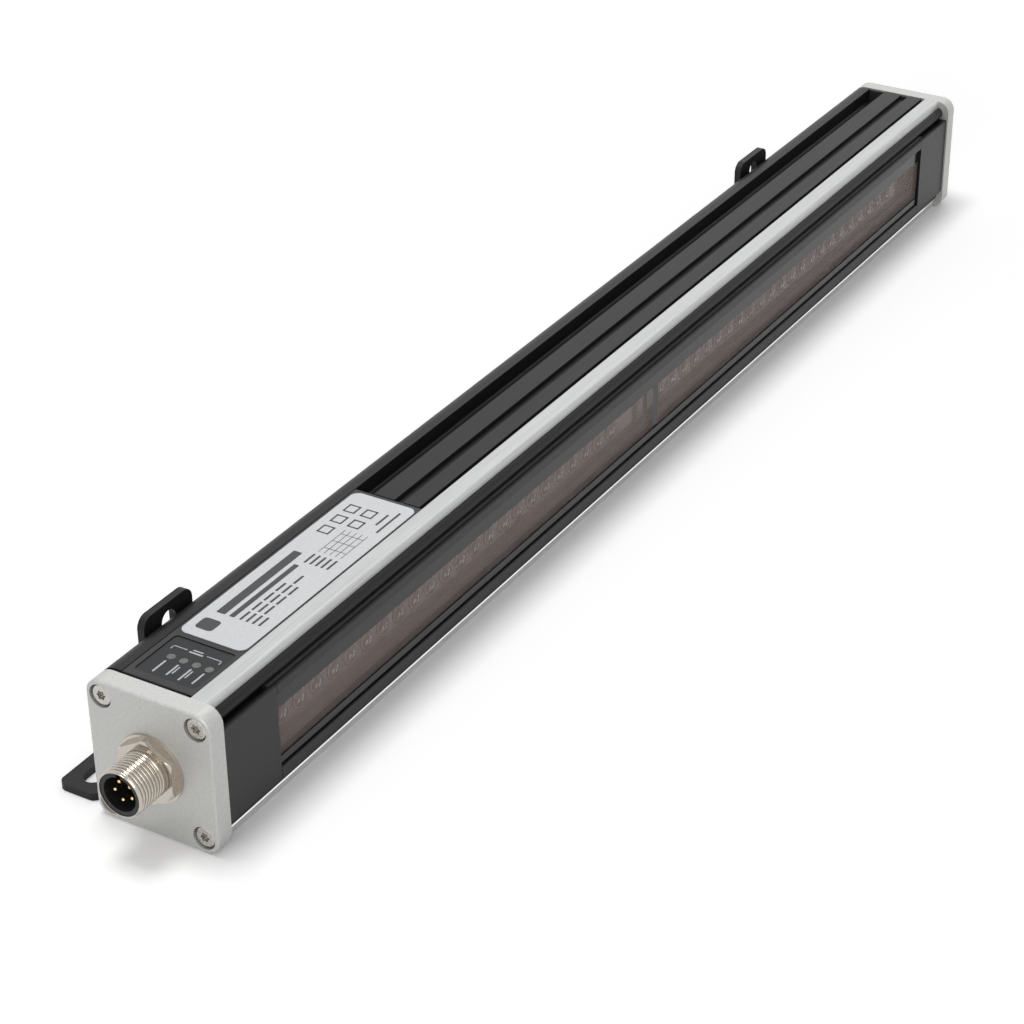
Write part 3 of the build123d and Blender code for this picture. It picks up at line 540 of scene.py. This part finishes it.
THREAD_R = 6.0
THREAD_ROOT = 5.58
THREAD_PITCH = 1.0
THREAD_END = -9.0
THREAD_FADE = 0.55
THREAD_AROUND = 96
THREAD_ROWS = 162
ROOT_FLAT = 0.05
FLANK_TOP = 0.93
LEAD_IN = 0.12
NECK_START = -1.1
NECK_LENGTH = 0.5
NECK_HEIGHT = 0.85
BORE_R = 5.5
TINY = 0.001


def thread_radius(angle, y):
    """Radius of the thread at an angle and a station, both ends running out smoothly."""
    phase = (y / THREAD_PITCH - angle / (2 * math.pi)) % 1.0
    rise = min(phase, 1.0 - phase) * 2.0
    if rise < 0.5:
        tooth = FLANK_TOP * max(0.0, rise - ROOT_FLAT) / (0.5 - ROOT_FLAT)
    else:
        tooth = 1.0 - (1.0 - FLANK_TOP) * ((1.0 - rise) / 0.5) ** 2
    reach = min(1.0, max(0.0, (y - THREAD_END) / THREAD_FADE))
    neck = min(1.0, max(0.0, (y - NECK_START) / NECK_LENGTH))
    tooth = tooth + (NECK_HEIGHT - tooth) * neck
    crest = THREAD_ROOT + (THREAD_R - THREAD_ROOT) * tooth
    lead = THREAD_ROOT + LEAD_IN + (THREAD_R - THREAD_ROOT - LEAD_IN) * reach
    return min(crest, lead)


def ring_point(radius, step, y):
    angle = 2 * math.pi * step / THREAD_AROUND
    return (radius * math.cos(angle) * MM, y * MM, radius * math.sin(angle) * MM)


def plain_barrel(bm):
    """Faces of the shell's outside that the thread takes the place of."""
    faces = []
    for face in bm.faces:
        radii = [math.hypot(v.co.x, v.co.z) / MM for v in face.verts]
        stations = [v.co.y / MM for v in face.verts]
        outside = min(radii) > BORE_R + TINY
        if outside and max(stations) < 0.01 and max(stations) - min(stations) > 0.05:
            faces.append(face)
    return faces


def threaded_shell():
    """The plug's shell with a cut thread in place of its plain barrel."""
    mesh = nodes["plug_shell"].data.copy()
    mesh.name = "threaded_shell"
    bm = bmesh.new()
    bm.from_mesh(mesh)
    bmesh.ops.delete(bm, geom=plain_barrel(bm), context="FACES")
    grid = []
    for row in range(THREAD_ROWS + 1):
        y = THREAD_END * (1 - row / THREAD_ROWS)
        ring = []
        for step in range(THREAD_AROUND):
            radius = thread_radius(2 * math.pi * step / THREAD_AROUND, y)
            ring.append(bm.verts.new(ring_point(radius, step, y)))
        grid.append(ring)
    for low, high in zip(grid, grid[1:]):
        for step in range(THREAD_AROUND):
            following = (step + 1) % THREAD_AROUND
            face = bm.faces.new((low[step], high[step], high[following], low[following]))
            face.smooth = True
    rim = [bm.verts.new(ring_point(BORE_R, step, THREAD_END)) for step in range(THREAD_AROUND)]
    for step in range(THREAD_AROUND):
        following = (step + 1) % THREAD_AROUND
        bm.faces.new((rim[step], grid[0][step], grid[0][following], rim[following]))
    bm.to_mesh(mesh)
    bm.free()
    piece = add_piece("threaded_shell", mesh, M["nickel"], "root")
    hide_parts("plug_shell")


threaded_shell()


# Camera at the photograph's angle

CAMERA_PLACE = (312.01, -356.72, 341.40)
CAMERA_FORWARD = (-0.44695, 0.73614, -0.50825)
CAMERA_UP = (-0.25388, 0.44042, 0.86115)
FOCAL_PIXELS = 2613.8
IMAGE_PIXELS = 1024
SENSOR_WIDTH = 36.0

camera_data = bpy.data.cameras.new("camera")
camera_data.sensor_width = SENSOR_WIDTH
camera_data.lens = FOCAL_PIXELS / IMAGE_PIXELS * SENSOR_WIDTH
camera_data.clip_start = 0.01
camera = bpy.data.objects.new("camera", camera_data)
bpy.context.scene.collection.objects.link(camera)
back = -Vector(CAMERA_FORWARD).normalized()
side = Vector(CAMERA_UP).cross(back).normalized()
upward = back.cross(side).normalized()
turn = Matrix((side, upward, back)).transposed().to_4x4()
camera.matrix_world = Matrix.Translation(Vector(CAMERA_PLACE) * MM) @ turn
bpy.context.scene.camera = camera


# Floor, world and lamps

# The floor's glow is only for what the camera, a mirror or a clear piece sees. It grows with
# the distance from the origin, in metres, and is dimmed close to the object by ambient occlusion, which
# paints shade on the floor there
FLOOR_Z = -18.66
FLOOR_HALF = 6.0
FLOOR_GLOW = 0.33
FAR_GLOW = 0.62
GLOW_NEAR = 0.5
GLOW_FAR = 2.2
GLOW_SHADE = 0.014
GLOW_SHADE_SAMPLES = 4
WORLD_LIGHT = 0.28


def multiplied(tree, first, second):
    node = tree.nodes.new("ShaderNodeMath")
    node.operation = "MULTIPLY"
    tree.links.new(first, node.inputs[0])
    tree.links.new(second, node.inputs[1])
    return node.outputs[0]


def seen_directly(tree):
    """One for what the camera, a mirror or a clear piece sees, and nought for plain light."""
    path = tree.nodes.new("ShaderNodeLightPath")
    either = tree.nodes.new("ShaderNodeMath")
    either.operation = "MAXIMUM"
    third = tree.nodes.new("ShaderNodeMath")
    third.operation = "MAXIMUM"
    tree.links.new(path.outputs["Is Camera Ray"], either.inputs[0])
    tree.links.new(path.outputs["Is Glossy Ray"], either.inputs[1])
    tree.links.new(either.outputs[0], third.inputs[0])
    tree.links.new(path.outputs["Is Transmission Ray"], third.inputs[1])
    return third


def floor():
    z = FLOOR_Z * MM
    corners = [(-FLOOR_HALF, -FLOOR_HALF, z), (FLOOR_HALF, -FLOOR_HALF, z),
               (FLOOR_HALF, FLOOR_HALF, z), (-FLOOR_HALF, FLOOR_HALF, z)]
    mesh = bpy.data.meshes.new("floor")
    mesh.from_pydata(corners, [], [(0, 1, 2, 3)])
    piece = bpy.data.objects.new("floor", mesh)
    bpy.context.scene.collection.objects.link(piece)
    material, tree, shader = new_material("floor_white")
    shader.inputs["Base Color"].default_value = (0.86, 0.86, 0.86, 1)
    shader.inputs["Roughness"].default_value = 0.9
    shader.inputs["Specular IOR Level"].default_value = 0.0
    shader.inputs["Emission Color"].default_value = (1, 1, 1, 1)
    coords = tree.nodes.new("ShaderNodeTexCoord")
    distance = tree.nodes.new("ShaderNodeVectorMath")
    distance.operation = "LENGTH"
    tree.links.new(coords.outputs["Object"], distance.inputs[0])
    glow = tree.nodes.new("ShaderNodeMapRange")
    glow.inputs["From Min"].default_value = GLOW_NEAR
    glow.inputs["From Max"].default_value = GLOW_FAR
    glow.inputs["To Min"].default_value = FLOOR_GLOW
    glow.inputs["To Max"].default_value = FAR_GLOW
    tree.links.new(distance.outputs["Value"], glow.inputs["Value"])
    # Ambient occlusion dims the glow near the object: painted shade on the floor around it
    painted_floor_shade = tree.nodes.new("ShaderNodeAmbientOcclusion")
    painted_floor_shade.samples = GLOW_SHADE_SAMPLES
    painted_floor_shade.inputs["Distance"].default_value = GLOW_SHADE
    glow_under_painted_shade = multiplied(tree, glow.outputs[0], painted_floor_shade.outputs["AO"])
    strength = multiplied(tree, seen_directly(tree).outputs[0], glow_under_painted_shade)
    tree.links.new(strength, shader.inputs["Emission Strength"])
    paint(piece, material)


floor()

world = bpy.data.worlds.new("world")
bpy.context.scene.world = world
world.use_nodes = True
tree = world.node_tree
background = tree.nodes["Background"]
background.inputs["Color"].default_value = (1, 1, 1, 1)
level = tree.nodes.new("ShaderNodeMapRange")
level.inputs["To Min"].default_value = WORLD_LIGHT
level.inputs["To Max"].default_value = 1.0
tree.links.new(seen_directly(tree).outputs[0], level.inputs["Value"])
tree.links.new(level.outputs[0], background.inputs["Strength"])


def lamp(name, place, target, size, power):
    data = bpy.data.lights.new(name, "AREA")
    data.shape = "RECTANGLE"
    data.size = size[0]
    data.size_y = size[1]
    data.energy = power
    lamp_object = bpy.data.objects.new(name, data)
    bpy.context.scene.collection.objects.link(lamp_object)
    lamp_object.location = place
    aim = (Vector(target) - Vector(place)).normalized()
    lamp_object.rotation_euler = aim.to_track_quat("-Z", "Y").to_euler()


CENTRE = (0.0, 0.2, 0.0)
lamp("key", (-0.24, 0.12, 1.5), CENTRE, (0.5, 0.5), 10.8)
lamp("front", (0.6, -1.5, 0.75), CENTRE, (0.9, 0.9), 7.0)
lamp("back", (-0.3, 1.6, 1.1), CENTRE, (1.2, 0.8), 2.2)

bpy.context.scene.view_settings.view_transform = "Standard"
